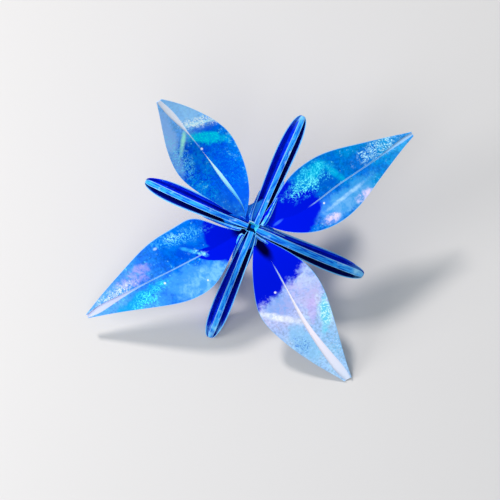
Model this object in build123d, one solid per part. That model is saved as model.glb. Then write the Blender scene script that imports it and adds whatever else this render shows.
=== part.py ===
from build123d import *
import math
import os

# A flower folded from one square sheet of paper whose corners were first
# folded to its centre. Four petals lie over the sheet's diagonals, and four
# slim pods stand between them. Behind the bloom the gathered layers close
# into one pleated point. The flower lies face up on a slant: it leans on that
# point, on one petal's tip and on one pod's end. Lengths are in millimetres,
# angles in degrees. The bloom is modelled facing +Z and then laid down.

# The sheet, and the reach that its folded diagonals and sides can give
sheet_side = 150.0
petal_length = sheet_side / 2
pod_length = petal_length / math.sqrt(2)

# Bulk of one folded layer, and the round of a folded edge
layer = 0.42
fold_round = 0.3

# Petals
petal_half_width = 14.0
petal_root = 4.2
throat_depth = 3.4
throat_reach = 15.0
slit_width = 4.2
seam_width = 0.3
seam_depth = 0.1

# Pods
pod_half_width = 3.5
pod_depth = 7.6
pod_wall = 0.55
pod_root = 0.5
rib_half_width = 1.05
rib_rise = 0.25
groove_floor = 1.3

# Gathered point behind the bloom
point_length = 36.0
point_blunt = 1.1
ridge_reach = 9.5
valley_reach = 5.2
neck_depth = 4.6
neck_top = 2.4

# Pleats that hug each pod's root, and the web that ties all roots together
pleat_thick = 1.3
pleat_height = 4.8
pleat_drop = 0.35
web_reach = 12.5
web_notch = 8.0
web_drop = 1.5

# Pit where the sheet's four corners meet
pit_width = 3.0
pit_depth = 2.6

# Turn of the resting bloom about the upright
rest_turn_angle = 15.5

# Ways along a petal, and the half-width there of each petal's anticlockwise
# and clockwise side as shares of petal_half_width, from the right petal round
petal_way_shares = (0.0, 0.08, 0.17, 0.27, 0.38, 0.48, 0.58, 0.70, 0.84, 0.93, 1.0)
petal_before_shares = (
    (0.04, 0.25, 0.50, 0.83, 0.96, 0.98, 0.88, 0.66, 0.39, 0.20, 0.05),
    (0.04, 0.20, 0.36, 0.56, 0.74, 0.84, 0.81, 0.67, 0.39, 0.20, 0.06),
    (0.04, 0.32, 0.66, 0.96, 1.01, 0.94, 0.77, 0.55, 0.30, 0.16, 0.06),
    (0.04, 0.33, 0.63, 0.86, 0.94, 0.88, 0.75, 0.57, 0.34, 0.20, 0.11),
)
petal_behind_shares = (
    (0.04, 0.38, 0.66, 0.89, 0.94, 0.88, 0.74, 0.50, 0.27, 0.15, 0.08),
    (0.04, 0.34, 0.57, 0.77, 0.89, 0.94, 0.95, 0.80, 0.53, 0.33, 0.12),
    (0.04, 0.48, 0.88, 1.03, 1.05, 0.99, 0.84, 0.63, 0.39, 0.21, 0.07),
    (0.04, 0.34, 0.61, 0.85, 1.05, 1.01, 0.88, 0.71, 0.44, 0.26, 0.13),
)

# How far a petal's two upper flaps stand apart, as shares of slit_width
petal_slit_shares = (
    (0.0, 0.0, 0.0, 0.0, 0.03, 0.04, 0.04, 0.05, 0.21, 0.40, 0.45),
    (0.0, 0.10, 0.21, 0.30, 0.24, 0.04, 0.0, 0.24, 0.52, 0.48, 0.36),
    (0.0, 0.0, 0.0, 0.02, 0.05, 0.05, 0.06, 0.17, 0.36, 0.45, 0.40),
    (0.0, 0.0, 0.02, 0.10, 0.17, 0.29, 0.43, 0.62, 0.86, 1.00, 0.81),
)

# Way along a pod, its half-width and its depth as shares of the greatest
pod_outline_shares = [
    (0.00, 0.42, 1.00),
    (0.09, 0.60, 1.06),
    (0.20, 0.69, 1.10),
    (0.36, 0.80, 1.08),
    (0.55, 0.94, 1.00),
    (0.72, 1.00, 0.88),
    (0.86, 0.90, 0.70),
    (0.95, 0.62, 0.46),
    (1.00, 0.28, 0.20),
]

# Most of a pod's half-width that its wall, its rib and the bottom of its
# groove may take, most of its depth that its floor may take, and its fall
wall_share = 0.3
rib_share = 0.62
keel_share = 0.7
floor_share = 0.4
fall_power_share = 1.7

# Way along a pod, and a pleat's bulk there as a share of its greatest
pleat_outline_shares = [
    (0.072, 0.30),
    (0.080, 0.75),
    (0.095, 1.00),
    (0.20, 0.70),
    (0.30, 0.32),
    (0.37, 0.05),
]
pleat_lap_share = 0.8

# Way down the gathered point, and how far its pleats stand open there
point_shares = [(0.0, 1.0), (0.12, 0.93), (0.40, 0.62), (0.75, 0.3), (1.0, 0.0)]
neck_open_share = 0.52
petal_ridge_share = 0.72
valley_share = 0.92

# How fast a petal's slit cuts through its flaps, and how much of them it may
# take
slit_cut_share = 8.0
slit_edge_share = 0.8

# The petals, anticlockwise from the right: compass angle, how far the edges
# stand up, roll, then reach and rise of the tip and bend to the side as
# shares of the petal's length
petal_angles = (44.0, 136.0, 224.3, 315.3)
petal_cup_angles = (9.0, 24.0, 7.0, 5.0)
petal_roll_angles = (-6.0, 8.0, 3.0, 0.0)
petal_reach_shares = (0.958, 0.82, 0.993, 0.993)
petal_rise_shares = (-0.09, 0.24, -0.09, -0.09)
petal_bow_shares = (0.028, 0.010, 0.004, 0.010)

# The pods, anticlockwise from the upper one: compass angle, then reach and
# fall of the tip as shares of the pod's length. The pods lean towards the
# petal on their clockwise side.
pod_angles = (78.3, 172.5, 264.5, 347.6)
pod_reach_shares = (0.885, 0.84, 0.97, 0.94)
pod_fall_shares = (0.19, 0.19, 0.215, 0.22)

# Petal and pod that touch the floor, counted from nought
resting_petal = 3
resting_pod = 2

# Share of the way between the two points that give a curve's direction
step_share = 0.01


def direction(angle):
    """Unit vector at a compass angle in the bloom's plane."""
    return Vector(math.cos(math.radians(angle)), math.sin(math.radians(angle)), 0)


def down(depth):
    """Vector that leads straight down into the bloom."""
    return Vector(0, 0, -depth)


def petal_point(way, angle, reach_share, rise_share, bow_share):
    """Point on a petal's centre line at a share of the way to its tip."""
    out = petal_root + (petal_length * reach_share - petal_root) * way
    dip = throat_depth * max(0.0, 1 - out / throat_reach) ** 2
    rise = petal_length * rise_share * way**2
    side = petal_length * bow_share * math.sin(math.pi * way)
    return direction(angle) * out + direction(angle - 90) * side + down(dip - rise)


def petal_plane(way, number):
    """Plane of a petal's section: X to its anticlockwise side, Y upwards."""
    place = petal_places[number]
    ahead = petal_point(way + step_share, *place) - petal_point(way - step_share, *place)
    roll = Axis((0, 0, 0), tuple(ahead))
    across = Vector(0, 0, 1).cross(ahead).rotate(roll, petal_roll_angles[number] * way)
    return Plane(origin=petal_point(way, *place), x_dir=across, z_dir=ahead)


def petal(number):
    """One petal: a lower layer, and two flaps that meet on its centre line."""
    stand = math.tan(math.radians(petal_cup_angles[number]))
    sections = []
    for station, way in enumerate(petal_way_shares):
        before = petal_half_width * petal_before_shares[number][station]
        behind = petal_half_width * petal_behind_shares[number][station]
        before_edge = before - min(fold_round, before / 2)
        behind_edge = behind - min(fold_round, behind / 2)
        slit_share = petal_slit_shares[number][station]
        widest_gap = min(before_edge, behind_edge) * slit_edge_share
        gap = min((seam_width + slit_width * slit_share) / 2, widest_gap)
        before_lift, behind_lift, gap_lift = (one * stand * (1 - way) for one in (before, behind, gap))
        slit_depth = seam_depth + (layer - seam_depth) * min(1.0, slit_share * slit_cut_share)
        outline = [
            (-behind_edge, behind_lift + layer),
            (-gap, gap_lift + layer),
            (-gap, gap_lift + layer - slit_depth),
            (gap, gap_lift + layer - slit_depth),
            (gap, gap_lift + layer),
            (before_edge, before_lift + layer),
            (before, before_lift),
            (before_edge, before_lift - layer),
            (0, -layer),
            (-behind_edge, behind_lift - layer),
            (-behind, behind_lift),
        ]
        sections.append(petal_plane(way, number) * make_face(Polyline(*outline, close=True)))
    return loft(sections)


def pod_point(way, angle, reach_share, fall_share):
    """Point on the crest of a pod's rib at a share of the way to its tip."""
    out = pod_root + (pod_length * reach_share - pod_root) * way
    return direction(angle) * out + down(pod_length * fall_share * way**fall_power_share)


def pod_plane(way, place):
    """Plane of a pod's section, with the rib's crest at its origin."""
    ahead = pod_point(way + step_share, *place) - pod_point(max(0, way - step_share), *place)
    across = Vector(0, 0, 1).cross(ahead)
    return Plane(origin=pod_point(way, *place), x_dir=across, z_dir=ahead)


def pod_width_share(way):
    """Width of a pod at a share of the way to its tip, as a share of the greatest."""
    for first, last in zip(pod_outline_shares, pod_outline_shares[1:]):
        if first[0] <= way <= last[0]:
            return first[1] + (last[1] - first[1]) * (way - first[0]) / (last[0] - first[0])


def pod(place):
    """One pod: a pleated strip with two outer walls and a rib between them."""
    sections = []
    for way, width_share, depth_share in pod_outline_shares:
        half = pod_half_width * width_share
        deep = pod_depth * depth_share
        inner = half - min(pod_wall, half * wall_share)
        rib = min(rib_half_width, inner * rib_share)
        groove = (inner + rib) / 2
        keel = (half + groove) / 2
        floor = min(groove_floor, deep * floor_share) - deep
        outline = [
            (-half, 0),
            (-inner, 0),
            (-groove, floor),
            (-rib, rib_rise),
            (rib, rib_rise),
            (groove, floor),
            (inner, 0),
            (half, 0),
            (keel, -deep),
            (groove * keel_share, -deep),
            (0, -deep / 2),
            (-groove * keel_share, -deep),
            (-keel, -deep),
        ]
        face = make_face(Polyline(*outline, close=True))
        sections.append(pod_plane(way, place) * face)
    return loft(sections)


def point_section(depth, open_share):
    """Star-shaped section of the gathered point: ridges, and valleys between."""
    ridges = [(angle, petal_ridge_share) for angle in petal_angles]
    ridges += [(angle, 1.0) for angle in pod_angles]
    ridges.sort()
    outline = []
    for place, (angle, ridge_share) in enumerate(ridges):
        following = ridges[(place + 1) % len(ridges)][0]
        between = angle + ((following - angle) % 360) / 2
        ridge = point_blunt + (ridge_reach - point_blunt) * open_share * ridge_share
        valley = point_blunt + (valley_reach - point_blunt) * open_share
        outline.append(direction(angle) * ridge + down(depth))
        outline.append(direction(between) * min(valley, ridge * valley_share) + down(depth))
    return make_face(Polyline(*outline, close=True))


def gathered_point():
    """Pleated closed point, with a ridge under each petal and each pod."""
    sections = [point_section(neck_top, neck_open_share)]
    for way, open_share in point_shares:
        depth = neck_depth + (point_length - neck_depth) * way
        sections.append(point_section(depth, open_share))
    return loft(sections, ruled=True)


def pleat(place, side):
    """Double fold that hugs a pod's outer wall, round inside and thin outside."""
    sections = []
    for way, bulk_share in pleat_outline_shares:
        wall = pod_half_width * pod_width_share(way)
        bulk = pleat_thick * bulk_share
        outer = wall + bulk
        bevel = min(fold_round, bulk / 2)
        outline = [
            (side * wall * pleat_lap_share, -pleat_drop),
            (side * (outer - bevel), -pleat_drop),
            (side * outer, -pleat_drop - bevel),
            (side * outer, -pleat_height),
            (side * wall * pleat_lap_share, -pleat_height),
        ]
        face = make_face(Polyline(*outline, close=True))
        sections.append(pod_plane(way, place) * face)
    return loft(sections, ruled=True)


def web():
    """Folded web that ties the roots of the petals and the pods together."""
    foot = down(pleat_height)
    angles = sorted(petal_angles + pod_angles)
    outline = []
    for angle, following in zip(angles, angles[1:] + angles[:1]):
        between = angle + (following - angle) % 360 / 2
        outline.append(direction(angle) * web_reach + foot)
        outline.append(direction(between) * web_notch + foot)
    face = make_face(Polyline(*outline, close=True))
    return extrude(face, amount=pleat_height - web_drop, dir=(0, 0, 1))


def pit():
    """Pyramid-shaped hollow where the sheet's four corners meet."""
    mouth = Plane.XY.offset(rib_rise) * Rectangle(pit_width, pit_width)
    bottom = Plane.XY.offset(-pit_depth) * Rectangle(seam_width, seam_width)
    return loft([mouth, bottom])


def bloom():
    """The whole folded sheet, facing +Z with the pit at the origin."""
    folded = gathered_point() + web()
    for place in pod_places:
        folded += pod(place)
        folded += pleat(place, -1)
        folded += pleat(place, 1)
    for number in range(len(petal_places)):
        folded += petal(number)
    return folded - pit()


def floor_plane():
    """Plane through the petal tip, the pod end and the point that touch down."""
    tip_half = petal_half_width * petal_behind_shares[resting_petal][-1]
    tip = petal_plane(1.0, resting_petal).from_local_coords(Vector(fold_round - tip_half, -layer, 0))
    end_way, _, end_depth_share = pod_outline_shares[-1]
    end = pod_plane(end_way, pod_places[resting_pod])
    keel = end.from_local_coords(Vector(0, -pod_depth * end_depth_share, 0))
    foot = direction(pod_angles[resting_pod]) * point_blunt + down(point_length)
    up = (keel - foot).cross(tip - foot).normalized()
    across = direction(rest_turn_angle)
    return Plane(origin=foot, x_dir=across - up * across.dot(up), z_dir=up)


petal_places = list(zip(petal_angles, petal_reach_shares, petal_rise_shares, petal_bow_shares))
pod_places = list(zip(pod_angles, pod_reach_shares, pod_fall_shares))
flower = floor_plane().to_local_coords(bloom())
box = flower.bounding_box()
flower = Pos(-box.center().X, -box.center().Y, -box.min.Z) * flower

os.makedirs("parts", exist_ok=True)
export_step(flower, "parts/folded_flower.step")
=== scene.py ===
import math
import bpy
import bmesh
from mathutils import Matrix, Vector


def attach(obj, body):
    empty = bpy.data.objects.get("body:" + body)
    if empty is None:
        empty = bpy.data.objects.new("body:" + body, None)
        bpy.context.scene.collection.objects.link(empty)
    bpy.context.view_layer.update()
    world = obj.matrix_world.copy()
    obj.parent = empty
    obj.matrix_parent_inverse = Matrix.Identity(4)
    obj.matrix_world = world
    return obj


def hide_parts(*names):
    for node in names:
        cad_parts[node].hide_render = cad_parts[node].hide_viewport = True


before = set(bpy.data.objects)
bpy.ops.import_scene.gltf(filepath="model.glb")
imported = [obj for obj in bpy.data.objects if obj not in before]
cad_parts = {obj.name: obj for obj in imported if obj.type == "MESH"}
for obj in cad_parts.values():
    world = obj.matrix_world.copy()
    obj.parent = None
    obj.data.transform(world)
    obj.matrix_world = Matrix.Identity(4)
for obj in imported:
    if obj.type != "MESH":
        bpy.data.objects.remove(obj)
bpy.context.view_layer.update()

# The gathered layers behind the bloom. The paper's inner pleats are drawn
# together into one closed point with a ridge under every petal and pod, and
# a folded web at its top ties all the roots together.
petal_angles = (44.0, 136.0, 224.3, 315.3)
pod_angles = (78.3, 172.5, 264.5, 347.6)
bloom_centre = Vector((0.000667, 0.006919, 0.032989))
bloom_turn = Matrix((
    (0.96805, 0.24701, -0.04324),
    (-0.24110, 0.86938, -0.43133),
    (-0.06895, 0.42797, 0.90116),
))
millimetre = 0.001


def place_in_bloom(piece, angle=0.0):
    """Put a piece made in millimetres, facing up, where it sits in the bloom."""
    turned = bloom_turn.to_4x4() @ Matrix.Rotation(math.radians(angle), 4, "Z")
    piece.matrix_world = Matrix.Translation(bloom_centre) @ turned @ Matrix.Scale(millimetre, 4)
    bpy.ops.object.select_all(action="DESELECT")
    piece.select_set(True)
    bpy.context.view_layer.objects.active = piece
    bpy.ops.object.transform_apply(location=True, rotation=True, scale=True)


def pick(wanted):
    """Select the vertices whose numbers are wanted."""
    mesh = bmesh.from_edit_mesh(bpy.context.object.data)
    for face in mesh.faces:
        face.select_set(False)
    for edge in mesh.edges:
        edge.select_set(False)
    for vertex in mesh.verts:
        vertex.select_set(vertex.index in wanted)
    mesh.select_flush(True)
    bmesh.update_edit_mesh(bpy.context.object.data)


def shift(wanted, x=0.0, y=0.0, z=0.0):
    """Move the wanted vertices."""
    pick(wanted)
    bpy.ops.transform.translate(value=(x, y, z))


def apply_modifiers(piece):
    """Leave edit mode and make every modifier of the piece part of its mesh."""
    bpy.ops.object.mode_set(mode="OBJECT")
    for modifier in list(piece.modifiers):
        bpy.ops.object.modifier_apply(modifier=modifier.name)


def dress(piece, *papers):
    """Give a piece its papers, and tie it to the one body of the part."""
    piece.data.materials.clear()
    for paper in papers:
        piece.data.materials.append(paper)
    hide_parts("folded_flower")
    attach(piece, "root")


def new_group(name, inputs, outputs):
    """An empty shader node group with named inputs and outputs."""
    group = bpy.data.node_groups.new(name, "ShaderNodeTree")
    for socket, kind, value in inputs:
        made = group.interface.new_socket(socket, in_out="INPUT", socket_type="NodeSocket" + kind)
        if value is not None:
            made.default_value = value
    for socket, kind in outputs:
        group.interface.new_socket(socket, in_out="OUTPUT", socket_type="NodeSocket" + kind)
    return group, group.nodes.new("NodeGroupInput"), group.nodes.new("NodeGroupOutput")


def connect(tree, made, values):
    """Give a node's inputs their links or plain values. A plain colour is opaque."""
    for socket, value in values.items():
        target = made.inputs[socket]
        if isinstance(value, bpy.types.NodeSocket):
            tree.links.new(value, target)
        else:
            target.default_value = (*value, 1) if target.type == "RGBA" else value


def node(tree, kind, values=(), **settings):
    """Add a node with its settings, and connect it."""
    made = tree.nodes.new("ShaderNode" + kind)
    for key, value in settings.items():
        setattr(made, key, value)
    connect(tree, made, dict(values))
    return made


def use_group(tree, group, **values):
    """Place a shader group, with a value or a link for each named input."""
    made = tree.nodes.new("ShaderNodeGroup")
    made.node_tree = group
    connect(tree, made, {socket.replace("_", " "): value for socket, value in values.items()})
    return made.outputs


def sum_of(tree, operation, *values):
    """Result of a sum on up to three numbers."""
    return node(tree, "Math", dict(enumerate(values)), operation=operation).outputs[0]


def ramp(tree, value, start, end):
    """Smooth step from nought to one."""
    made = node(tree, "MapRange", {0: value, 1: start, 2: end}, interpolation_type="SMOOTHSTEP")
    return made.outputs[0]


def noise(tree, place, scale, detail, roughness=0.5, distortion=0.0):
    """Cloudy noise about a half."""
    return node(tree, "TexNoise", {
        "Vector": place, "Scale": scale, "Detail": detail,
        "Roughness": roughness, "Distortion": distortion,
    }).outputs[0]


def mixed(tree, amount, first, second):
    """Colour between two others."""
    return node(tree, "Mix", {0: amount, 6: first, 7: second}, data_type="RGBA").outputs[2]


def overlaid(tree, mask, strength, color, ink):
    """Colour with another over it at some strength, where the mask is one: print ink, painted shade or
    painted highlight.
    """
    return mixed(tree, sum_of(tree, "MULTIPLY", mask, strength), color, ink)


# Glitter in the film over the print: curled bright strokes and fine specks
glitter, given, result = new_group(
    "film glitter",
    [("Place", "Vector", None), ("Amount", "Float", 0.3)],
    [("Mask", "Float"), ("Tone", "Float")],
)
place, amount = given.outputs["Place"], given.outputs["Amount"]
crest = sum_of(glitter, "SUBTRACT", noise(glitter, place, 0.50, 2.5, 0.6, 1.6), 0.5)
strokes = ramp(glitter, sum_of(glitter, "ABSOLUTE", crest), 0.06, 0.015)
gaps = noise(glitter, place, 0.75, 2.0, 0.6)
least = sum_of(glitter, "MULTIPLY_ADD", amount, -0.36, 0.70)
kept = ramp(glitter, gaps, least, sum_of(glitter, "ADD", least, 0.10))
strokes = sum_of(glitter, "MULTIPLY", strokes, kept)
cells = node(glitter, "TexVoronoi", {"Vector": place, "Scale": 1.05, "Randomness": 1.0})
lot = node(glitter, "SeparateColor", {0: cells.outputs["Color"]}).outputs[0]
least = sum_of(glitter, "MULTIPLY_ADD", amount, -0.5, 1.0)
kept = ramp(glitter, lot, least, sum_of(glitter, "ADD", least, 0.1))
specks = sum_of(glitter, "MULTIPLY", ramp(glitter, cells.outputs["Distance"], 0.45, 0.20), kept)
glitter.links.new(sum_of(glitter, "MAXIMUM", specks, strokes), result.inputs["Mask"])
glitter.links.new(gaps, result.inputs["Tone"])

# A patch of print, painted shade or painted light: one inside a turned oval with a ragged, fluffy edge
patch, given, result = new_group(
    "print and painted light patch",
    [
        ("Place", "Vector", None), ("Centre", "Vector", None), ("Reach", "Vector", None),
        ("Angle", "Float", 0.0), ("Ragged", "Float", 0.3),
        ("Soft", "Float", 0.2), ("Fluff", "Float", 0.0),
    ],
    [("Mask", "Float")],
)
place, soft = given.outputs["Place"], given.outputs["Soft"]
flat = node(patch, "VectorMath", {0: place, 1: (1, 1, 0)}, operation="MULTIPLY").outputs[0]
flat = node(patch, "VectorMath", {0: flat, 1: given.outputs["Centre"]}, operation="SUBTRACT").outputs[0]
turned = {"Vector": flat, "Angle": given.outputs["Angle"]}
flat = node(patch, "VectorRotate", turned, rotation_type="Z_AXIS").outputs[0]
flat = node(patch, "VectorMath", {0: flat, 1: given.outputs["Reach"]}, operation="DIVIDE").outputs[0]
away = node(patch, "VectorMath", {0: flat}, operation="LENGTH").outputs[1]
torn = sum_of(patch, "SUBTRACT", noise(patch, place, 0.28, 5.0, 0.66), 0.5)
torn = sum_of(patch, "MULTIPLY", torn, given.outputs["Ragged"])
away = sum_of(patch, "MULTIPLY_ADD", torn, 4.0, away)
inside = ramp(patch, away, sum_of(patch, "ADD", 1.0, soft), sum_of(patch, "SUBTRACT", 1.0, soft))
puffs = ramp(patch, noise(patch, place, 0.33, 6.0, 0.68, 0.5), 0.40, 0.60)
holes = sum_of(patch, "MULTIPLY", sum_of(patch, "SUBTRACT", 1.0, puffs), given.outputs["Fluff"])
mask = sum_of(patch, "MULTIPLY", inside, sum_of(patch, "SUBTRACT", 1.0, holes))
patch.links.new(mask, result.inputs["Mask"])

# Night-sky print: cloudy blue inks, mist and sparse glitter
sky, given, result = new_group(
    "sky print",
    [
        ("Place", "Vector", None),
        ("Ground", "Color", (0.0, 0.05, 0.6, 1)),
        ("Haze", "Color", (0.02, 0.25, 0.75, 1)),
        ("Mist", "Color", (0.6, 0.65, 0.9, 1)),
        ("Mist amount", "Float", 0.3),
        ("Glitter amount", "Float", 0.3),
    ],
    [("Color", "Color")],
)
place, amount = given.outputs["Place"], given.outputs["Glitter amount"]
clouds = noise(sky, place, 0.11, 5.0, 0.62, 0.6)
color = mixed(sky, ramp(sky, clouds, 0.38, 0.64), given.outputs["Ground"], given.outputs["Haze"])
least = sum_of(sky, "MULTIPLY_ADD", given.outputs["Mist amount"], -0.4, 0.72)
mist = ramp(sky, noise(sky, place, 0.16, 6.0, 0.7, 1.2), least, sum_of(sky, "ADD", least, 0.2))
color = overlaid(sky, mist, 0.85, color, given.outputs["Mist"])
grain = noise(sky, place, 0.95, 3.0, 0.6)
shade = node(sky, "MapRange", {0: grain, 1: 0.3, 2: 0.7, 3: 0.72, 4: 1.28}).outputs[0]
shaded = node(sky, "VectorMath", {0: color, 3: shade}, operation="SCALE").outputs[0]
textured = sum_of(sky, "MINIMUM", 1.0, sum_of(sky, "MULTIPLY", amount, 4.0))
color = mixed(sky, textured, color, shaded)
patchy = sum_of(sky, "ADD", ramp(sky, clouds, 0.42, 0.62), 0.1)
flecks = use_group(sky, glitter, Place=place, Amount=sum_of(sky, "MULTIPLY", amount, patchy))
tint = mixed(sky, flecks["Tone"], (0.0, 0.45, 0.80), (0.30, 0.85, 1.0))
color = overlaid(sky, flecks["Mask"], 0.6, color, tint)
sky.links.new(color, result.inputs["Color"])


def bloom_coordinates(tree, angle=0.0):
    """Place on the bloom in millimetres, turned so that Y runs along a petal."""
    turned = bloom_turn @ Matrix.Rotation(math.radians(angle), 3, "Z")
    return node(tree, "Mapping", {
        "Vector": node(tree, "TexCoord").outputs["Object"], "Location": bloom_centre,
        "Rotation": turned.to_euler(), "Scale": (millimetre, millimetre, millimetre),
    }, vector_type="TEXTURE").outputs[0]


def new_paper(name, roughness=0.5):
    """A new matt paper material: itself, its tree and its shader."""
    material = bpy.data.materials.new(name)
    material.use_nodes = True
    shader = material.node_tree.nodes["Principled BSDF"]
    shader.inputs["Roughness"].default_value = roughness
    shader.inputs["Specular IOR Level"].default_value = 0.0
    return material, material.node_tree, shader


def finish_paper(tree, shader, place, color, grain=0.25):
    """Give a paper its colour, and the fine fibre of a sheet as a slight bump."""
    tree.links.new(color, shader.inputs["Base Color"])
    fibre = noise(tree, place, 2.2, 4.0, 0.65)
    bump = node(tree, "Bump", {"Strength": grain, "Distance": 0.0002, "Height": fibre})
    tree.links.new(bump.outputs[0], shader.inputs["Normal"])


inner_paper, tree, shader = new_paper("deep_blue_folds")
place = bloom_coordinates(tree)
color = use_group(
    tree, sky, Place=place, Ground=(0.0, 0.03, 0.50), Haze=(0.0, 0.20, 0.90),
    Mist_amount=0.0, Glitter_amount=0.0,
)["Color"]
# Painted light and shade on the web: a lit blue beside the upper pod, and painted shade, near black, in
# the corner by the left petal
for centre, reach, ink in (
    ((0.4, 8.1, 0), (2.6, 4.2, 1), (0.02, 0.26, 0.85)),
    ((-2.4, -2.6, 0), (3.0, 3.0, 1), (0.0, 0.0, 0.03)),
):
    mask = use_group(tree, patch, Place=place, Centre=centre, Reach=reach, Soft=0.4)["Mask"]
    color = mixed(tree, mask, color, ink)
finish_paper(tree, shader, place, color)

web_drop = 1.5
web_reach = 12.5
web_notch = 8.0
# Depth of each level, and its reach under pods, under petals and in valleys
point_levels = (
    (4.8, web_reach, web_reach, web_notch), (4.9, 9.5, 7.1, 5.2), (8.5, 8.9, 6.7, 4.9),
    (17.2, 6.3, 4.9, 3.6), (28.2, 3.6, 2.9, 2.3), (36.0, 1.1, 1.1, 1.05),
)
ridge_angles = sorted(petal_angles + pod_angles)
ring = []
for angle, following in zip(ridge_angles, ridge_angles[1:] + ridge_angles[:1]):
    ring.append((angle, "pod" if angle in pod_angles else "petal"))
    ring.append((angle + (following - angle) % 360 / 2, "valley"))


def bearing(vertex_place):
    """Compass angle of a place about the middle, in degrees."""
    return math.degrees(math.atan2(vertex_place.y, vertex_place.x)) % 360


bpy.ops.object.select_all(action="DESELECT")
bpy.ops.mesh.primitive_circle_add(vertices=len(ring), radius=1, fill_type="NGON")
point = bpy.context.object
point.name = "gathered_point"
bpy.ops.object.mode_set(mode="EDIT")
bpy.context.tool_settings.mesh_select_mode = (True, False, False)
starts = [vertex.co.copy() for vertex in bmesh.from_edit_mesh(point.data).verts]
order = sorted(range(len(ring)), key=lambda number: bearing(starts[number]))
reach = {"pod": web_reach, "petal": web_reach, "valley": web_notch}
for number, (angle, kind) in zip(order, ring):
    outward = Vector((math.cos(math.radians(angle)), math.sin(math.radians(angle)), 0))
    shift({number}, *(outward * reach[kind] - starts[number] - Vector((0, 0, web_drop))))
depth = web_drop
for level_depth, *level_reach in point_levels:
    bpy.ops.mesh.select_all(action="DESELECT")
    mesh = bmesh.from_edit_mesh(point.data)
    caps = [face for face in mesh.faces if len(face.verts) == len(ring)]
    min(caps, key=lambda face: face.verts[0].co.z).select_set(True)
    bmesh.update_edit_mesh(point.data)
    bpy.ops.mesh.extrude_region_move(TRANSFORM_OT_translate={"value": (0, 0, depth - level_depth)})
    level = {kind: set() for kind in reach}
    for vertex in bmesh.from_edit_mesh(point.data).verts:
        if vertex.select:
            here = bearing(vertex.co)
            angle, kind = min(ring, key=lambda one: abs((here - one[0] + 180) % 360 - 180))
            level[kind].add(vertex.index)
    for kind, new_reach in zip(("pod", "petal", "valley"), level_reach):
        pick(level[kind])
        size = new_reach / reach[kind]
        bpy.ops.transform.resize(value=(size, size, 1), center_override=(0, 0, -level_depth))
        reach[kind] = new_reach
    depth = level_depth
bpy.ops.mesh.select_all(action="SELECT")
bpy.ops.mesh.normals_make_consistent(inside=False)
apply_modifiers(point)
place_in_bloom(point)
dress(point, inner_paper)

# The four pods. Each is a strip of the same sheet pleated lengthways into two
# standing walls with a rib between two deep grooves, closed to a round end.
# Its walls and grooves show the darkest blue, the shut groove darkened further as painted shade; its rib
# is a lighter one, and its folds carry pale lines of painted highlight.
pod_length = 53.03
pod_root = 0.5
pod_half_width = 3.8
pod_depth = 7.6
# Way along a pod, and its width and depth there as shares of the greatest
pod_outline = (
    (0.024, 0.40, 1.00), (0.09, 0.60, 1.06), (0.20, 0.69, 1.10), (0.36, 0.80, 1.08), (0.55, 0.94, 1.00),
    (0.72, 1.01, 0.88), (0.86, 0.93, 0.70), (0.955, 0.66, 0.46), (0.992, 0.38, 0.28), (1.0, 0.12, 0.10),
)
# Across the strip: from the middle of the underside, out, over and back
rib_edge, groove_bottom, wall_inside = 0.30, 0.66, 0.92
pod_folds = (
    (0.0, -0.5), (-0.45, -1.0), (-0.82, -1.0), (-1.0, 0.0), (-wall_inside, 0.0), (-groove_bottom, -0.72),
    (-rib_edge, 0.03), (rib_edge, 0.03), (groove_bottom, -0.72), (wall_inside, 0.0), (1.0, 0.0),
    (0.82, -1.0), (0.45, -1.0), (0.0, -0.5),
)
# The same across the flat strip: the rib's edges, the tops of the two walls,
# and the feet of their outer sides
rib_folds = (0.4615, 0.5385)
wall_tops = (0.269, 0.731)
wall_feet = (0.168, 0.832)
# Most of a pod's half-width that its rib may take, depth left to an open
# groove, way at which a pod lies back in line, and how its fall gathers
rib_most = 0.58
open_groove_depth = 0.6
lean_end = 0.6
fall_power = 1.7
# Per pod: reach and fall, how far aside its root leans and where it starts, its
# rib's half-width and place, and how far out the anticlockwise and the clockwise
# wall stand. Its open side has the groove that lies open to the light, its
# leaning side the wall whose outside is seen from above, and its shade fade is how
# far the painted shade in the shut groove lightens towards the tip.
pods = {
    "upper": dict(
        angle=pod_angles[0], reach=0.885, fall=0.19, aside=1.3, start=2.4, rib_half=0.92, rib_aside=0.75,
        spreads=(0.91, 0.63), open_side=-1, leaning_side=0, shade_fade=0.35,
    ),
    "left": dict(
        angle=pod_angles[1], reach=0.84, fall=0.19, aside=0.4, start=1.0, rib_half=1.05, rib_aside=0.15,
        spreads=(-0.28, 0.0), open_side=1, leaning_side=1, shade_fade=0.4,
    ),
    "lower": dict(
        angle=pod_angles[2], reach=0.97, fall=0.215, aside=-1.0, start=1.2, rib_half=1.0, rib_aside=-0.4,
        spreads=(1.12, 0.0), open_side=1, leaning_side=0, shade_fade=0.95,
    ),
    "right": dict(
        angle=pod_angles[3], reach=0.94, fall=0.22, aside=-0.4, start=2.7, rib_half=1.35, rib_aside=-0.2,
        spreads=(-1.19, 0.0), open_side=-1, leaning_side=-1, shade_fade=0.0,
    ),
}


def pod_out(pod, way):
    """Distance from the bloom's middle at a share of a pod's length."""
    return pod_root + (pod_length * pod["reach"] - pod_root) * way


def pod_drop(pod, way):
    """How far a pod's rib lies below the bloom's middle there."""
    return pod_length * pod["fall"] * way**fall_power


def pod_lean(pod, way):
    """How far aside a pod's middle line lies there."""
    return pod["aside"] * max(0.0, 1 - way / lean_end)


def wall_spread(spread, way, width):
    """How far out a wall stands there: most near the root, nothing at the tip."""
    return spread * (1 - way) * min(1.0, width)


def start_paper(columns, rows, name):
    """A flat strip of paper, one unit square, ready to be folded in edit mode."""
    bpy.ops.object.select_all(action="DESELECT")
    bpy.ops.mesh.primitive_grid_add(x_subdivisions=columns, y_subdivisions=rows, size=1)
    paper = bpy.context.object
    paper.name = name
    bpy.ops.object.mode_set(mode="EDIT")
    bpy.context.tool_settings.mesh_select_mode = (True, False, False)
    return paper


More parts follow.
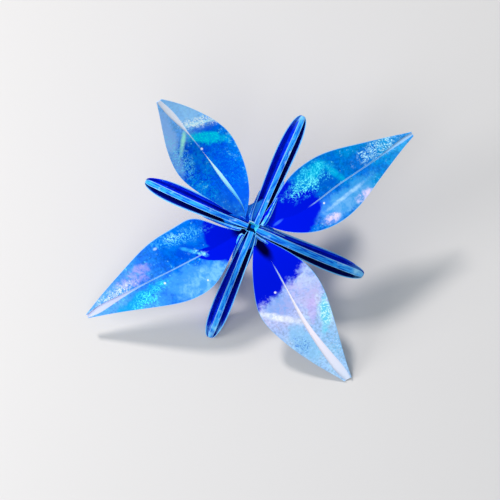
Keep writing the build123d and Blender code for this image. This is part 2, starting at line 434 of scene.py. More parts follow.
def widen(wanted, x, z=1.0):
    """Scale the wanted vertices about the strip's middle, across and in height."""
    pick(wanted)
    bpy.ops.transform.resize(value=(x, 1, z), center_override=(0, 0, 0))


def turn(wanted, angle, axis, centre):
    """Turn the wanted vertices about a centre; the operator turns the other way."""
    pick(wanted)
    bpy.ops.transform.rotate(value=-math.radians(angle), orient_axis=axis, center_override=centre)


def crease(wanted):
    """Make the line of edges between the wanted vertices a sharp fold."""
    pick(wanted)
    bpy.ops.transform.edge_crease(value=1.0)


def close_ends():
    """Fill the open ends of a folded strip, and turn its faces outwards."""
    bpy.ops.mesh.select_all(action="DESELECT")
    bpy.ops.mesh.select_non_manifold()
    bpy.ops.mesh.edge_face_add()
    bpy.ops.mesh.select_all(action="SELECT")
    bpy.ops.mesh.normals_make_consistent(inside=False)


def smooth(piece, levels):
    """Round a creased cage with a subdivision surface."""
    surface = piece.modifiers.new("smooth", "SUBSURF")
    surface.levels = surface.render_levels = levels


def line_mask(tree, value, centre, half, soft=0.004):
    """One inside a band about a value, falling to nought past its soft edges."""
    away = sum_of(tree, "ABSOLUTE", sum_of(tree, "SUBTRACT", value, centre))
    return ramp(tree, away, half + soft, half)


def pod_paper(name, pod):
    """Dark walls, a brighter streaked rib, painted shade in the shut groove, and pale lines of painted
    highlight along the folds.
    """
    material, tree, shader = new_paper(name, 0.45)
    place = bloom_coordinates(tree, pod["angle"] - 90)
    along = node(tree, "SeparateXYZ", {0: place}).outputs[1]
    across = node(tree, "SeparateXYZ", {0: node(tree, "UVMap").outputs[0]}).outputs[0]
    color = use_group(
        tree, sky, Place=place, Ground=(0.0, 0.008, 0.58), Haze=(0.0, 0.03, 0.74),
        Mist_amount=0.0, Glitter_amount=0.0,
    )["Color"]
    # Painted shade: the groove on the shut side is painted nearly black, less so from 16 to 30 mm along
    # the pod.
    shut = line_mask(tree, across, 0.5 - pod["open_side"] * 0.12, 0.075)
    dark = sum_of(tree, "MULTIPLY_ADD", ramp(tree, along, 16.0, 30.0), -pod["shade_fade"], 1.0)
    color = overlaid(tree, shut, dark, color, (0.0, 0.004, 0.20))
    stretched = node(tree, "Mapping", {"Vector": place, "Scale": (2.2, 0.07, 0.8)}).outputs[0]
    streak = ramp(tree, noise(tree, stretched, 0.9, 4.0, 0.6), 0.40, 0.58)
    blotch = noise(tree, place, 0.22, 4.0)
    rib = mixed(tree, streak, (0.0, 0.08, 0.66), (0.03, 0.38, 0.96))
    rib = mixed(tree, ramp(tree, blotch, 0.54, 0.68), rib, (0.34, 0.62, 1.0))
    color = mixed(tree, line_mask(tree, across, 0.5, rib_folds[1] - 0.5), color, rib)
    # Painted highlights: pale lines along the rib's two folds, and along each wall's top, except on the
    # leaning side, where the line runs along the foot of its outer side.
    for fold in rib_folds:
        color = overlaid(tree, line_mask(tree, across, fold, 0.004), 0.7, color, (0.3, 0.66, 1.0))
    for side, top, foot in zip((-1, 1), wall_tops, wall_feet):
        line = (foot, 0.015) if side == pod["leaning_side"] else (top, 0.043)
        color = mixed(tree, line_mask(tree, across, *line), color, (0.16, 0.55, 1.0))
    tip = sum_of(tree, "MULTIPLY", ramp(tree, along, 40.0, 47.0), ramp(tree, blotch, 0.40, 0.58))
    color = overlaid(tree, tip, 0.6, color, (0.25, 0.70, 0.98))
    amount = sum_of(tree, "MULTIPLY", ramp(tree, along, 12.0, 40.0), 0.22)
    flecks = use_group(tree, glitter, Place=place, Amount=amount)["Mask"]
    color = overlaid(tree, flecks, 0.4, color, (0.10, 0.55, 0.98))
    finish_paper(tree, shader, place, color, 0.2)
    return material


for side, spec in pods.items():
    columns, rows = len(pod_folds) - 1, len(pod_outline) - 1
    wide = columns + 1
    pod = start_paper(columns, rows, f"pod_{side}")
    for column, (x, z) in enumerate(pod_folds):
        line = {row * wide + column for row in range(rows + 1)}
        shift(line, x=x - (column / columns - 0.5), z=z)
        if column not in (0, columns):
            crease(line)
    for row, (way, width, depth) in enumerate(pod_outline):
        strip = set(range(row * wide, (row + 1) * wide))
        half = pod_half_width * width
        widen(strip, half, pod_depth * depth)
        rib = {row * wide + 6, row * wide + 7}
        rib_half = min(spec["rib_half"], half * rib_most)
        widen(rib, rib_half / (rib_edge * half))
        grooves = {row * wide + 5, row * wide + 8}
        widen(grooves, (half * wall_inside + rib_half) / 2 / (groove_bottom * half))
        open_groove = {row * wide + (5 if spec["open_side"] < 0 else 8)}
        widen(open_groove, 1.0, open_groove_depth)
        shift(rib, x=spec["rib_aside"] * width)
        for wall, hand, spread in zip(((2, 3, 4), (9, 10, 11)), (-1, 1), spec["spreads"]):
            shift({row * wide + column for column in wall}, x=hand * wall_spread(spread, way, width))
        out = pod_out(spec, way) if row else spec["start"]
        drop = pod_drop(spec, way)
        shift(strip, x=pod_lean(spec, way), y=out - (row / rows - 0.5), z=-drop)
        slope = math.atan(fall_power * spec["fall"] * way ** (fall_power - 1) / spec["reach"])
        turn(strip, -math.degrees(slope), "X", (0, out, -drop))
    crease(set(range(wide)))
    pick({row * wide + column for row in range(rows + 1) for column in (0, columns)})
    bpy.ops.mesh.remove_doubles(threshold=0.001)
    close_ends()
    smooth(pod, 2)
    apply_modifiers(pod)
    place_in_bloom(pod, spec["angle"] - 90)
    bpy.ops.object.shade_smooth_by_angle(angle=math.radians(35))
    dress(pod, pod_paper(f"{side}_pod_paper", spec))

# The pleats. Beside each pod's root the paper doubles back on itself in a
# narrow hairpin fold that hugs the wall, round inside and thin outside. Its
# two edges and its rounded root end are painted paler as painted highlights, and its middle stays dark.
pleat_height = 4.8
pleat_lap = 0.05
# Way along the pod, and a hairpin's bulk there as a share of its greatest
pleat_outline = (
    (0.050, 0.30), (0.054, 0.75), (0.075, 1.00), (0.14, 0.95), (0.21, 0.66), (0.30, 0.34), (0.37, 0.06),
)
pleat_folds = (
    (0, -pleat_height), (0, -0.45), (0.3, -0.35), (0.7, -0.35), (1, -0.5), (1, -pleat_height),
)
# Bulk, rise and length of the hairpins on each pod's clockwise side, before it,
# and on its anticlockwise side, behind it. A rise grows along the pod.
rise_growth = 3
hairpins = {
    "upper": {"before": (1.7, 1.3, 1.5), "behind": (1.0, 0.0, 0.9)},
    "left": {"before": (0.6, 0.0, 0.8), "behind": (1.6, 0.3, 1.3)},
    "lower": {"before": (2.1, 0.3, 0.8), "behind": (1.0, 0.0, 0.9)},
    "right": {"before": (1.0, 0.5, 1.3), "behind": (0.8, 0.0, 0.8)},
}
pleat_paper, tree, shader = new_paper("hairpin_folds", 0.45)
place = bloom_coordinates(tree)
across, along, _ = node(tree, "SeparateXYZ", {0: node(tree, "UVMap").outputs[0]}).outputs
# Painted highlights: paler along the hairpin's two edges and at its root end.
edges = [line_mask(tree, across, fold, 0.10, 0.02) for fold in (0.30, 0.70)]
edge = sum_of(tree, "MAXIMUM", sum_of(tree, "ADD", *edges), ramp(tree, along, 0.22, 0.17))
blotch = ramp(tree, noise(tree, place, 0.5, 4.0), 0.4, 0.6)
pale = mixed(tree, blotch, (0.03, 0.36, 0.95), (0.22, 0.60, 1.0))
finish_paper(tree, shader, place, mixed(tree, edge, (0.0, 0.02, 0.60), pale), 0.2)


def pod_width(way):
    """Width of a pod at a share of its length, as a share of the greatest."""
    for first, last in zip(pod_outline, pod_outline[1:]):
        if way <= last[0]:
            return first[1] + (last[1] - first[1]) * (way - first[0]) / (last[0] - first[0])


for name, sides in hairpins.items():
    spec = pods[name]
    hand_spreads = {"before": (1, spec["spreads"][1]), "behind": (-1, spec["spreads"][0])}
    for hand, (bulk, rise, length) in sides.items():
        side, spread = hand_spreads[hand]
        columns, rows = len(pleat_folds) - 1, len(pleat_outline) - 1
        wide = columns + 1
        pleat = start_paper(columns, rows, f"pleat_{hand}_{name}_pod")
        for column, (x, z) in enumerate(pleat_folds):
            line = {row * wide + column for row in range(rows + 1)}
            shift(line, x=x - (column / columns - 0.5), z=z)
        for row, (way, share) in enumerate(pleat_outline):
            strip = set(range(row * wide, (row + 1) * wide))
            widen(strip, side * bulk * share)
            way = pleat_outline[0][0] + (way - pleat_outline[0][0]) * length
            width = pod_width(way)
            wall = pod_half_width * width + wall_spread(spread, way, width) - pleat_lap
            height = rise * (1 + rise_growth * way) - pod_drop(spec, way)
            out = pod_out(spec, way) - (row / rows - 0.5)
            shift(strip, x=side * wall + pod_lean(spec, way), y=out, z=height)
        close_ends()
        smooth(pleat, 2)
        apply_modifiers(pleat)
        place_in_bloom(pleat, spec["angle"] - 90)
        bpy.ops.object.shade_smooth_by_angle(angle=math.radians(50))
        dress(pleat, pleat_paper)

# The pit, where the four corners of the sheet meet. Their edges make a small
# square rim between the inner ends of the ribs and dip together inside it.
pit_side = 4.2
pit_top = 0.15
pit_rim = 0.6
pit_depth = 2.4
pit_floor_share = 0.04
pit_aside = (0.85, 0.55)
pit_turn = -9.0
pit_edge_round = 0.12
pit_paper, tree, shader = new_paper("pit_corners")
place = bloom_coordinates(tree)
from_pit = node(tree, "VectorMath", {0: place, 1: (*pit_aside, 0)}, operation="SUBTRACT").outputs[0]
across, along, up = node(tree, "SeparateXYZ", {0: from_pit}).outputs
# Painted light and shade: faces towards the upper right are a lit teal, faces towards the lower left
# near black, and a painted highlight glints on the upper rim.
lit = ramp(tree, sum_of(tree, "ADD", across, along), -0.15, 0.15)
color = mixed(tree, lit, (0.0, 0.01, 0.07), (0.04, 0.50, 0.72))
top = ramp(tree, up, -0.15, 0.05)
color = mixed(tree, top, color, (0.05, 0.45, 0.95))
glint = sum_of(tree, "MULTIPLY", ramp(tree, along, 0.8, 1.2), ramp(tree, across, 0.6, 0.2))
color = overlaid(tree, glint, top, color, (0.8, 0.97, 1.0))
finish_paper(tree, shader, place, color)
bpy.ops.object.select_all(action="DESELECT")
bpy.ops.mesh.primitive_cube_add(size=pit_side)
pit = bpy.context.object
pit.name = "pit"
bpy.ops.object.mode_set(mode="EDIT")
bpy.context.tool_settings.mesh_select_mode = (True, False, False)
corners = {vertex.index: vertex.co.z for vertex in bmesh.from_edit_mesh(pit.data).verts}
shift(set(corners), *pit_aside, pit_top - pit_side / 2)
pick({number for number, height in corners.items() if height > 0})
bpy.ops.mesh.inset(thickness=pit_rim)
bpy.ops.transform.translate(value=(0, 0, -pit_depth))
bpy.ops.transform.resize(value=(pit_floor_share, pit_floor_share, 1))
edges = pit.modifiers.new("folded edges", "BEVEL")
edges.width = pit_edge_round
edges.segments = 2
apply_modifiers(pit)
place_in_bloom(pit, pit_turn)
bpy.ops.object.shade_smooth_by_angle(angle=math.radians(40))
dress(pit, pit_paper)

# The four petals. Each is a long panel of the sheet with its two sides folded
# over until they meet along the middle. Towards the tip they stand apart, and
# the paler reverse of the sheet shows in the slit between them.
petal_length = 75.0
petal_root = 4.2
petal_half_width = 14.0
throat_depth = 3.4
throat_reach = 15.0
fold_height = 0.24
slit_width = 4.2
slit_most = 0.85
paper_thickness = 0.16
ink_drift = 9.0
# Ways along a petal, from its root to its tip
petal_ways = (0.0, 0.08, 0.17, 0.27, 0.38, 0.48, 0.58, 0.70, 0.84, 0.93, 1.0)
# Across the strip: from the middle, out over the upper side, round and back
petal_folds = (
    (0.0, 1.0), (-0.5, 1.25), (-1.0, 1.0), (-1.0, -1.0), (-0.5, -1.1), (0.0, -1.0),
    (0.5, -1.1), (1.0, -1.0), (1.0, 1.0), (0.5, 1.25), (0.0, 1.0),
)
# The same across the flat strip: the middles of the two outer folds
outer_folds = (0.25, 0.75)
# How ragged, soft and fluffy each kind of patch is
patch_edges = {
    "wash": (0.5, 0.35, 0.0), "cloud": (0.5, 0.4, 0.9), "base": (0.10, 0.07, 0.0),
    "line": (0.4, 0.6, 0.5), "glitter": (0.6, 0.5, 0.0), "spot": (0.1, 0.5, 0.0),
}


def colour_way(tree, value, stops):
    """Colours along a way, from a list of places and colours."""
    made = node(tree, "ValToRGB", {0: value})
    scale = made.color_ramp
    scale.elements[0].position, scale.elements[1].position = stops[0][0], stops[-1][0]
    for position, color in stops[1:-1]:
        scale.elements.new(position)
    for element, (position, color) in zip(scale.elements, stops):
        element.color = (*color, 1)
    return made.outputs[0]


def petal_paper(name, spec):
    """Printed side of a petal: inks along it, patches, glitter, creases, painted shade at the root, and
    folds and seam edges with painted highlights.
    """
    material, tree, shader = new_paper(name)
    place = bloom_coordinates(tree, spec["angle"] - 90)
    along = node(tree, "SeparateXYZ", {0: place}).outputs[1]
    drift = noise(tree, place, 0.09, 4.0, 0.55)
    way = sum_of(tree, "SUBTRACT", along, ink_drift / 2)
    way = sum_of(tree, "DIVIDE", sum_of(tree, "MULTIPLY_ADD", drift, ink_drift, way), petal_length)
    color = use_group(
        tree, sky, Place=place, Ground=colour_way(tree, way, spec["ground"]),
        Haze=colour_way(tree, way, spec["haze"]), Mist=spec["mist"],
        Mist_amount=spec["mist_amount"], Glitter_amount=spec["glitter"],
    )["Color"]
    for kind, centre, reach, angle, strength, ink in spec["patches"]:
        ragged, soft, fluff = patch_edges[kind]
        mask = use_group(
            tree, patch, Place=place, Centre=(*centre, 0), Reach=(*reach, 1), Angle=math.radians(-angle),
            Ragged=ragged, Soft=soft, Fluff=fluff,
        )["Mask"]
        if kind == "glitter":
            flecks = use_group(tree, glitter, Place=place, Amount=0.9)["Mask"]
            mask = sum_of(tree, "MULTIPLY", mask, flecks)
        color = overlaid(tree, mask, strength, color, ink)
    strip = node(tree, "SeparateXYZ", {0: node(tree, "UVMap").outputs[0]}).outputs[0]
    # Painted highlights: pale lines along the two outer folds.
    for fold in outer_folds:
        color = overlaid(tree, line_mask(tree, strip, fold, 0.051, 0.003), 0.75, color, (0.16, 0.55, 1.0))
    # Painted highlights: pale lines along the seam's two edges, between its start and end.
    start, end = spec["seam"]
    edges = sum_of(tree, "ADD", ramp(tree, strip, 0.0045, 0.002), ramp(tree, strip, 0.9955, 0.998))
    shut = sum_of(tree, "MULTIPLY", ramp(tree, along, start, start + 4), ramp(tree, along, end + 4, end))
    color = overlaid(tree, sum_of(tree, "MULTIPLY", edges, shut), 0.45, color, (0.45, 0.78, 1.0))
    finish_paper(tree, shader, place, color)
    return material


def reverse_paper(name, spec):
    """Unprinted side of the sheet, in tints that change along the petal and are bluest at the root."""
    material, tree, shader = new_paper(name, 0.6)
    place = bloom_coordinates(tree, spec["angle"] - 90)
    along = node(tree, "SeparateXYZ", {0: place}).outputs[1]
    way = sum_of(tree, "DIVIDE", along, petal_length)
    finish_paper(tree, shader, place, colour_way(tree, way, spec["reverse"]), 0.1)
    return material


# The flat royal blue at the petals' roots is painted shade, where each root dives between the pods.
root_shade_royal = (0.0, 0.007, 0.68)
deep = (0.0, 0.05, 0.66)
rose = (0.80, 0.66, 0.95)
white = (0.93, 0.94, 1.0)
# Per petal: place, outline, slit, and how far aside its two edges meet, then
# inks. Patches are ovals of ink or glitter, some of painted shade or painted
# highlight: kind, centre, reach across and along, angle, strength and colour.
petals = {
    "right": dict(
        angle=petal_angles[0], reach=0.958, rise=-0.09, cup=9.0, roll=-6.0, bow=0.028,
        before=(0.04, 0.25, 0.50, 0.83, 0.96, 0.98, 0.88, 0.66, 0.39, 0.20, 0.05),
        behind=(0.04, 0.44, 0.72, 0.91, 0.96, 0.91, 0.77, 0.53, 0.29, 0.16, 0.08),
        slit=(0.0, 0.0, 0.0, 0.0, 0.02, 0.03, 0.04, 0.05, 0.21, 0.40, 0.45),
        meet=(0.0, 1.2, 3.2, 2.8, 1.6, 0.3, 0.0, -0.2, -0.3, -0.2, 0.0),
        ground=(
            (0.0, root_shade_royal), (0.30, deep), (0.40, (0.0, 0.10, 0.60)), (0.6, (0.0, 0.14, 0.60)),
            (1.0, (0.02, 0.26, 0.72)),
        ),
        haze=(
            (0.0, root_shade_royal), (0.30, (0.0, 0.17, 0.68)), (0.5, (0.0, 0.20, 0.62)), (0.75, (0.0, 0.28, 0.66)),
            (1.0, (0.06, 0.42, 0.85)),
        ),
        mist=(0.14, 0.48, 0.85), mist_amount=0.2, glitter=0.35, seam=(23, 54),
        reverse=((0.0, (0.2, 0.45, 0.9)), (0.75, (0.22, 0.52, 0.85)), (1.0, (0.42, 0.62, 0.85))),
        patches=(
            ("wash", (9.0, 32.0), (5.0, 8.0), 0, 0.8, (0.04, 0.25, 0.82)),
            ("wash", (8.5, 41.0), (4.5, 11.0), 2, 0.75, (0.05, 0.34, 0.72)),
            ("cloud", (10.5, 36.0), (3.6, 11.0), 0, 0.7, (0.16, 0.44, 0.80)),
            ("cloud", (11.3, 45.0), (1.8, 4.0), -4, 0.9, rose),
            ("cloud", (12.2, 29.0), (1.7, 3.6), 0, 0.9, rose),
            ("line", (7.5, 38.0), (0.7, 8.0), 8, 0.7, (0.45, 0.72, 1.0)),
            # Painted shade: flat royal blue over the root.
            ("base", (1.0, 10.0), (13.0, 19.3), 0, 1.0, root_shade_royal),
            ("wash", (-6.5, 30.5), (3.6, 8.6), 13, 0.85, (0.0, 0.33, 0.72)),
            ("wash", (-7.0, 33.0), (2.0, 4.5), 20, 0.9, (0.0, 0.42, 0.72)),
            ("wash", (-1.6, 34.8), (3.4, 2.6), 0, 0.8, (0.0, 0.10, 0.60)),
            ("line", (-2.3, 39.0), (4.8, 1.1), 21, 0.9, (0.0, 0.42, 0.74)),
            ("glitter", (-5.0, 29.0), (4.2, 8.6), 13, 1.0, (0.06, 0.78, 1.0)),
            ("glitter", (-3.8, 26.0), (2.4, 6.0), 5, 1.0, (0.16, 0.90, 0.95)),
            ("glitter", (-2.0, 58.0), (3.0, 9.0), 0, 0.9, (0.45, 0.85, 1.0)),
            ("glitter", (4.0, 55.0), (2.0, 8.0), 3, 0.6, (0.0, 0.12, 0.62)),
            ("spot", (3.5, 10.5), (0.5, 2.0), 8, 0.7, (0.04, 0.16, 0.85)),
            ("spot", (5.7, 29.7), (0.36, 0.36), 0, 0.8, white),
        ),
    ),
    "upper": dict(
        angle=petal_angles[1], reach=0.82, rise=0.24, cup=24.0, roll=8.0, bow=0.010,
        before=(0.04, 0.20, 0.36, 0.56, 0.74, 0.84, 0.81, 0.67, 0.39, 0.20, 0.06),
        behind=(0.04, 0.36, 0.60, 0.77, 0.89, 0.95, 0.98, 0.84, 0.56, 0.33, 0.10),
        slit=(0.0, 0.12, 0.28, 0.40, 0.32, 0.05, 0.0, 0.0, 0.60, 0.56, 0.40),
        meet=(0.4, 2.4, 2.2, 1.6, 1.2, 1.0, 0.9, 0.8, 0.5, 0.2, 0.0),
        # Past about 0.62 of the way the inks turn lighter: partly the print, partly painted light on the
        # tip half beyond the bend.
        ground=(
            (0.0, (0.02, 0.26, 1.0)), (0.28, (0.0, 0.10, 0.82)), (0.55, (0.0, 0.05, 0.68)),
            (0.62, (0.12, 0.42, 0.95)), (1.0, (0.24, 0.58, 1.0)),
        ),
        haze=(
            (0.0, (0.03, 0.36, 1.0)), (0.28, (0.0, 0.20, 0.86)), (0.55, (0.0, 0.17, 0.74)),
            (0.64, (0.24, 0.58, 1.0)), (1.0, (0.30, 0.64, 1.0)),
        ),
        mist=(0.45, 0.80, 1.0), mist_amount=0.0, glitter=0.5, seam=(36, 42),
        reverse=(
            (0.0, (0.02, 0.34, 0.95)), (0.20, (0.14, 0.60, 1.0)), (0.34, (0.52, 0.95, 1.0)),
            (0.5, white), (1.0, white),
        ),
        patches=(
            ("wash", (4.9, 20.0), (5.4, 15.0), -6, 0.8, (0.0, 0.09, 0.76)),
            ("wash", (-4.0, 14.0), (3.6, 9.0), 10, 0.5, (0.0, 0.07, 0.62)),
            ("cloud", (0.4, 33.0), (3.4, 5.0), 0, 0.7, (0.0, 0.28, 0.80)),
            ("wash", (-8.2, 38.0), (1.9, 6.0), -12, 0.5, (0.26, 0.60, 0.96)),
            ("wash", (6.5, 39.7), (6.8, 2.3), -32, 0.9, (0.0, 0.48, 0.78)),
            ("glitter", (6.5, 39.7), (6.8, 2.6), -32, 0.8, (0.0, 0.75, 0.80)),
            ("wash", (7.0, 43.0), (5.8, 1.2), -26, 0.55, (0.0, 0.10, 0.80)),
            ("wash", (5.5, 54.0), (5.0, 8.0), 10, 0.6, (0.34, 0.66, 1.0)),
            # Painted highlight: a bright line along the crease where the tip half bends back, with
            # glitter over it.
            ("line", (6.8, 46.2), (6.6, 0.7), -19, 0.9, (0.50, 0.92, 1.0)),
            ("glitter", (6.8, 46.6), (7.0, 1.8), -19, 1.0, (0.85, 1.0, 1.0)),
            ("wash", (-4.5, 49.0), (2.6, 9.0), -18, 0.8, (0.30, 0.54, 0.96)),
            ("line", (-2.4, 42.8), (4.8, 0.8), 47, 1.0, (0.40, 1.0, 0.80)),
            ("glitter", (-6.5, 39.0), (3.0, 8.0), 0, 0.7, (0.20, 0.75, 1.0)),
            ("glitter", (6.0, 26.0), (7.0, 9.0), 0, 0.35, (0.0, 0.40, 0.95)),
            ("glitter", (-6.0, 25.0), (4.0, 9.0), 0, 0.5, (0.0, 0.50, 0.95)),
            ("spot", (2.0, 36.8), (0.45, 0.45), 0, 0.9, white),
        ),
    ),
    "left": dict(
        angle=petal_angles[2], reach=1.012, rise=-0.09, cup=7.0, roll=3.0, bow=0.004,
        before=(0.04, 0.32, 0.66, 0.96, 1.01, 0.94, 0.77, 0.55, 0.30, 0.16, 0.06),
        behind=(0.04, 0.44, 1.12, 1.05, 1.05, 0.99, 0.84, 0.63, 0.39, 0.21, 0.07),
        slit=(0.0, 0.0, 0.0, 0.0, 0.01, 0.01, 0.02, 0.16, 0.56, 0.72, 0.45),
        meet=(0.0, 0.0, -0.1, 0.0, 0.1, 0.3, 0.6, 0.7, 0.5, 0.2, 0.0),
        ground=(
            (0.0, root_shade_royal), (0.24, (0.0, 0.09, 0.74)), (0.45, (0.0, 0.10, 0.70)),
            (0.62, (0.02, 0.18, 0.80)), (0.75, (0.04, 0.26, 0.82)), (1.0, (0.10, 0.36, 0.78)),
        ),
        haze=(
            (0.0, root_shade_royal), (0.24, (0.0, 0.19, 0.82)), (0.45, (0.0, 0.19, 0.80)),
            (0.65, (0.04, 0.28, 0.84)), (1.0, (0.14, 0.42, 0.82)),
        ),
        mist=(0.60, 0.60, 0.98), mist_amount=0.05, glitter=0.40, seam=(18, 56),
        reverse=(
            (0.0, (0.3, 0.5, 0.98)), (0.6, (0.42, 0.62, 0.95)), (0.8, (0.50, 0.56, 0.86)),
            (1.0, (0.62, 0.66, 0.90)),
        ),
        patches=(
            ("wash", (-8.0, 28.0), (6.5, 15.0), -6, 0.85, (0.05, 0.31, 0.90)),
            ("cloud", (-9.5, 25.0), (4.5, 11.0), 0, 0.8, (0.20, 0.55, 1.0)),
            ("wash", (10.0, 26.0), (5.0, 9.0), -10, 0.8, (0.0, 0.17, 0.78)),
            ("wash", (4.0, 27.0), (3.6, 3.6), 0, 0.7, (0.0, 0.06, 0.70)),
            ("cloud", (5.0, 51.0), (3.4, 7.5), 5, 0.8, (0.40, 0.38, 0.90)),
            ("cloud", (3.2, 59.0), (3.0, 7.0), 5, 0.25, (0.40, 0.60, 0.94)),
            # Painted shade: flat royal blue over the root and along the seam near it.
            ("base", (2.0, 6.0), (13.0, 11.7), 0, 1.0, root_shade_royal),
            ("base", (-1.8, 17.0), (2.8, 7.6), -27, 1.0, root_shade_royal),
            # Painted shade: a near-black spot in the deep gap at the root.
            ("spot", (0.5, 3.2), (3.6, 3.6), 0, 0.9, (0.0, 0.0, 0.06)),
            ("glitter", (10.8, 26.0), (2.6, 9.5), -13, 0.75, (0.10, 0.66, 0.98)),
            ("glitter", (12.0, 27.4), (1.5, 3.6), -8, 0.75, (0.34, 0.90, 1.0)),
            ("line", (3.0, 24.0), (4.6, 0.7), 45, 0.75, (0.04, 0.52, 0.95)),
            ("glitter", (1.4, 22.2), (2.4, 1.0), 45, 1.0, (0.30, 0.92, 1.0)),
            ("glitter", (2.6, 61.0), (2.2, 9.0), 4, 0.8, (0.80, 0.90, 1.0)),
            ("wash", (-3.8, 53.0), (2.6, 11.0), 8, 0.85, (0.0, 0.32, 0.72)),
            ("glitter", (-4.4, 49.5), (2.8, 7.5), 10, 0.95, (0.08, 0.86, 0.95)),
            ("spot", (-9.7, 24.8), (0.35, 0.35), 0, 0.8, white),
            ("spot", (11.2, 36.5), (0.5, 0.8), 0, 0.7, (0.5, 0.72, 1.0)),
            ("spot", (-2.7, 40.5), (0.4, 0.4), 0, 0.8, white),
        ),
    ),
    "lower": dict(
        angle=petal_angles[3], reach=0.998, rise=-0.09, cup=5.0, roll=0.0, bow=0.010,
        before=(0.04, 0.33, 0.63, 0.86, 0.94, 0.88, 0.75, 0.57, 0.34, 0.20, 0.11),
        behind=(0.04, 0.34, 0.61, 0.85, 1.06, 1.04, 0.92, 0.75, 0.48, 0.27, 0.13),
        slit=(0.0, 0.0, 0.0, 0.07, 0.14, 0.27, 0.42, 0.62, 0.86, 1.00, 0.81),
        meet=(0.0, 0.0, -0.6, -0.3, 0.2, 0.8, 1.2, 1.1, 0.7, 0.3, 0.0),
        ground=(
            (0.0, (0.10, 0.30, 0.85)), (0.38, (0.22, 0.40, 0.90)), (0.5, (0.40, 0.50, 0.88)),
            (0.66, (0.34, 0.56, 0.90)), (1.0, (0.36, 0.62, 0.95)),
        ),
        haze=(
            (0.0, (0.10, 0.30, 0.85)), (0.38, (0.45, 0.52, 0.92)), (0.52, (0.60, 0.62, 0.92)),
            (0.70, (0.36, 0.64, 0.92)), (1.0, (0.46, 0.70, 0.98)),
        ),
        mist=(0.75, 0.80, 0.98), mist_amount=0.42, glitter=0.22, seam=(16, 24),
        reverse=(
            (0.0, (0.5, 0.8, 1.0)), (0.30, (0.95, 0.95, 0.98)), (0.65, (0.96, 0.88, 0.96)),
            (0.8, (0.88, 0.86, 0.97)), (1.0, (0.78, 0.86, 1.0)),
        ),
        patches=(
            ("cloud", (-5.0, 32.0), (6.0, 6.0), 10, 1.0, (0.54, 0.53, 0.88)),
            ("cloud", (-8.5, 28.0), (4.5, 4.5), 0, 0.9, (0.54, 0.68, 0.92)),
            ("wash", (7.5, 33.5), (5.5, 4.0), 0, 0.7, (0.20, 0.42, 0.90)),
            ("cloud", (6.0, 34.5), (4.5, 4.0), 0, 0.9, (0.42, 0.47, 0.86)),
            ("wash", (-3.6, 41.0), (1.6, 5.5), -28, 0.4, (0.62, 0.40, 0.90)),
            ("line", (9.0, 37.5), (9.0, 1.3), -43, 1.0, (0.95, 0.98, 1.0)),
            ("wash", (-6.8, 44.5), (1.9, 7.0), -28, 0.9, (0.12, 0.66, 0.90)),
            ("glitter", (-6.8, 44.5), (2.6, 8.0), -28, 1.0, (0.60, 1.0, 1.0)),
            ("wash", (6.5, 52.0), (4.0, 9.0), 8, 0.6, (0.26, 0.62, 0.95)),
            ("glitter", (8.0, 52.0), (2.6, 4.0), 8, 0.8, (0.02, 0.18, 0.70)),
            ("glitter", (-3.5, 57.0), (2.4, 9.0), 0, 0.6, (0.12, 0.50, 0.88)),
            # Painted shade: flat royal blue over the root.
            ("base", (4.0, 2.0), (40.0, 25.3), 20, 1.0, root_shade_royal),
            # Painted shade: a near-black spot in the throat at the root.
            ("spot", (0.2, 9.0), (2.0, 5.6), 8, 1.0, (0.0, 0.0, 0.03)),
            ("spot", (5.2, 27.3), (0.42, 0.42), 0, 0.85, white),
        ),
    ),
}


def petal_height(out, way, rise):
    """Height of a petal's middle line: it dips at the throat and rises to its tip."""
    return petal_length * rise * way**2 - throat_depth * max(0.0, 1 - out / throat_reach) ** 2


for side, spec in petals.items():
    columns, rows = len(petal_folds) - 1, len(petal_ways) - 1
    wide = columns + 1
    petal = start_paper(columns, rows, f"petal_{side}")
    for column, (x, z) in enumerate(petal_folds):
        line = {row * wide + column for row in range(rows + 1)}
        shift(line, x=x - (column / columns - 0.5), z=z * fold_height)
        if column in (2, 3, 7, 8):
            crease(line)
    for row, way in enumerate(petal_ways):
        strip = set(range(row * wide, (row + 1) * wide))
        before = petal_half_width * spec["before"][row]
        behind = petal_half_width * spec["behind"][row]
        widen({row * wide + column for column in range(5)}, before)
        widen({row * wide + column for column in range(6, 11)}, behind)
        meet = spec["meet"][row]
        gap = min(slit_width / 2 * spec["slit"][row], slit_most * min(before, behind))
        shift({row * wide}, x=meet - gap)
        shift({row * wide + columns}, x=meet + gap)
        stand = math.tan(math.radians(spec["cup"])) * (1 - way)
        for edge, between, lift in (((2, 3), (1, 4), before * stand), ((7, 8), (6, 9), behind * stand)):
            shift({row * wide + column for column in edge}, z=lift)
            shift({row * wide + column for column in between}, z=lift / 2)
        shift({row * wide, row * wide + columns}, z=abs(meet) * stand)
        turn(strip, spec["roll"] * way, "Y", (0, 0, 0))
        out = petal_root + (petal_length * spec["reach"] - petal_root) * way
        aside = petal_length * spec["bow"] * math.sin(math.pi * way)
        shift(strip, x=aside, y=out - (row / rows - 0.5), z=petal_height(out, way, spec["rise"]))
    bpy.ops.mesh.select_all(action="SELECT")
    bpy.ops.mesh.flip_normals()
    bpy.ops.object.mode_set(mode="OBJECT")
    dress(petal, petal_paper(f"{side}_petal_print", spec), reverse_paper(f"{side}_petal_reverse", spec))
    smooth(petal, 3)
    wall = petal.modifiers.new("paper", "SOLIDIFY")
    wall.thickness = paper_thickness
    wall.offset = -1
    wall.material_offset = 1
    apply_modifiers(petal)
    place_in_bloom(petal, spec["angle"] - 90)
    bpy.ops.object.shade_smooth_by_angle(angle=math.radians(40))

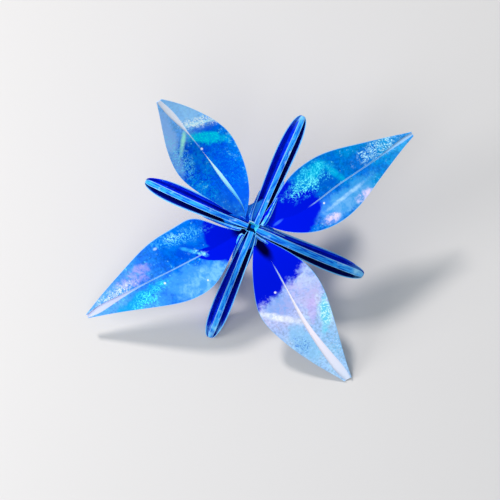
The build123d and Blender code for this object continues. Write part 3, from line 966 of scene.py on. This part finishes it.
# The plain table that the flower lies on, and the studio light: one soft lamp
# behind the flower on the left, two weak fills, and a pale room about it.
table_size = 6
bpy.ops.object.select_all(action="DESELECT")
bpy.ops.mesh.primitive_plane_add(size=table_size, location=(0, 0, 0))
table = bpy.context.object
table.name = "table"
pale, tree, shader = new_paper("pale_table", 0.8)
shader.inputs["Base Color"].default_value = (0.605, 0.597, 0.590, 1)
shader.inputs["Specular IOR Level"].default_value = 0.1
table.data.materials.append(pale)


def lamp(name, toward, distance, size, power, color):
    """A round soft lamp that shines on the flower."""
    light = bpy.data.lights.new(name, "AREA")
    light.shape = "DISK"
    light.size = size
    light.energy = power
    light.color = color
    made = bpy.data.objects.new(name, light)
    bpy.context.scene.collection.objects.link(made)
    toward = Vector(toward).normalized()
    made.location = toward * distance
    made.rotation_mode = "QUATERNION"
    made.rotation_quaternion = (-toward).to_track_quat("-Z", "Y")


lamp("main_lamp", (-0.40, 0.70, 0.78), distance=1.6, size=0.2, power=19.0, color=(1.0, 0.94, 0.90))
lamp("overhead_fill", (-0.15, -0.40, 0.90), distance=0.8, size=0.5, power=1.7, color=(0.99, 0.99, 1.0))
lamp("left_fill", (-0.85, -0.1, 0.5), distance=0.62, size=0.3, power=2.0, color=(1.0, 0.98, 0.97))

world = bpy.data.worlds.new("room")
bpy.context.scene.world = world
world.use_nodes = True
room = world.node_tree.nodes["Background"]
room.inputs["Color"].default_value = (0.86, 0.98, 1.10, 1)
room.inputs["Strength"].default_value = 0.38
bpy.context.scene.view_settings.view_transform = "Standard"

# The camera looks down on the bloom almost along its own axis.
view_line = Vector((-0.00247, -0.20304, 0.97917)).normalized()
view_distance = 0.5375
eye = bpy.data.cameras.new("camera")
eye.lens = 100
eye.sensor_width = 36
eye.shift_y = -0.044
camera = bpy.data.objects.new("camera", eye)
bpy.context.scene.collection.objects.link(camera)
camera.location = bloom_centre + view_line * view_distance
camera.rotation_mode = "QUATERNION"
camera.rotation_quaternion = (-view_line).to_track_quat("-Z", "Y")
bpy.context.scene.camera = camera
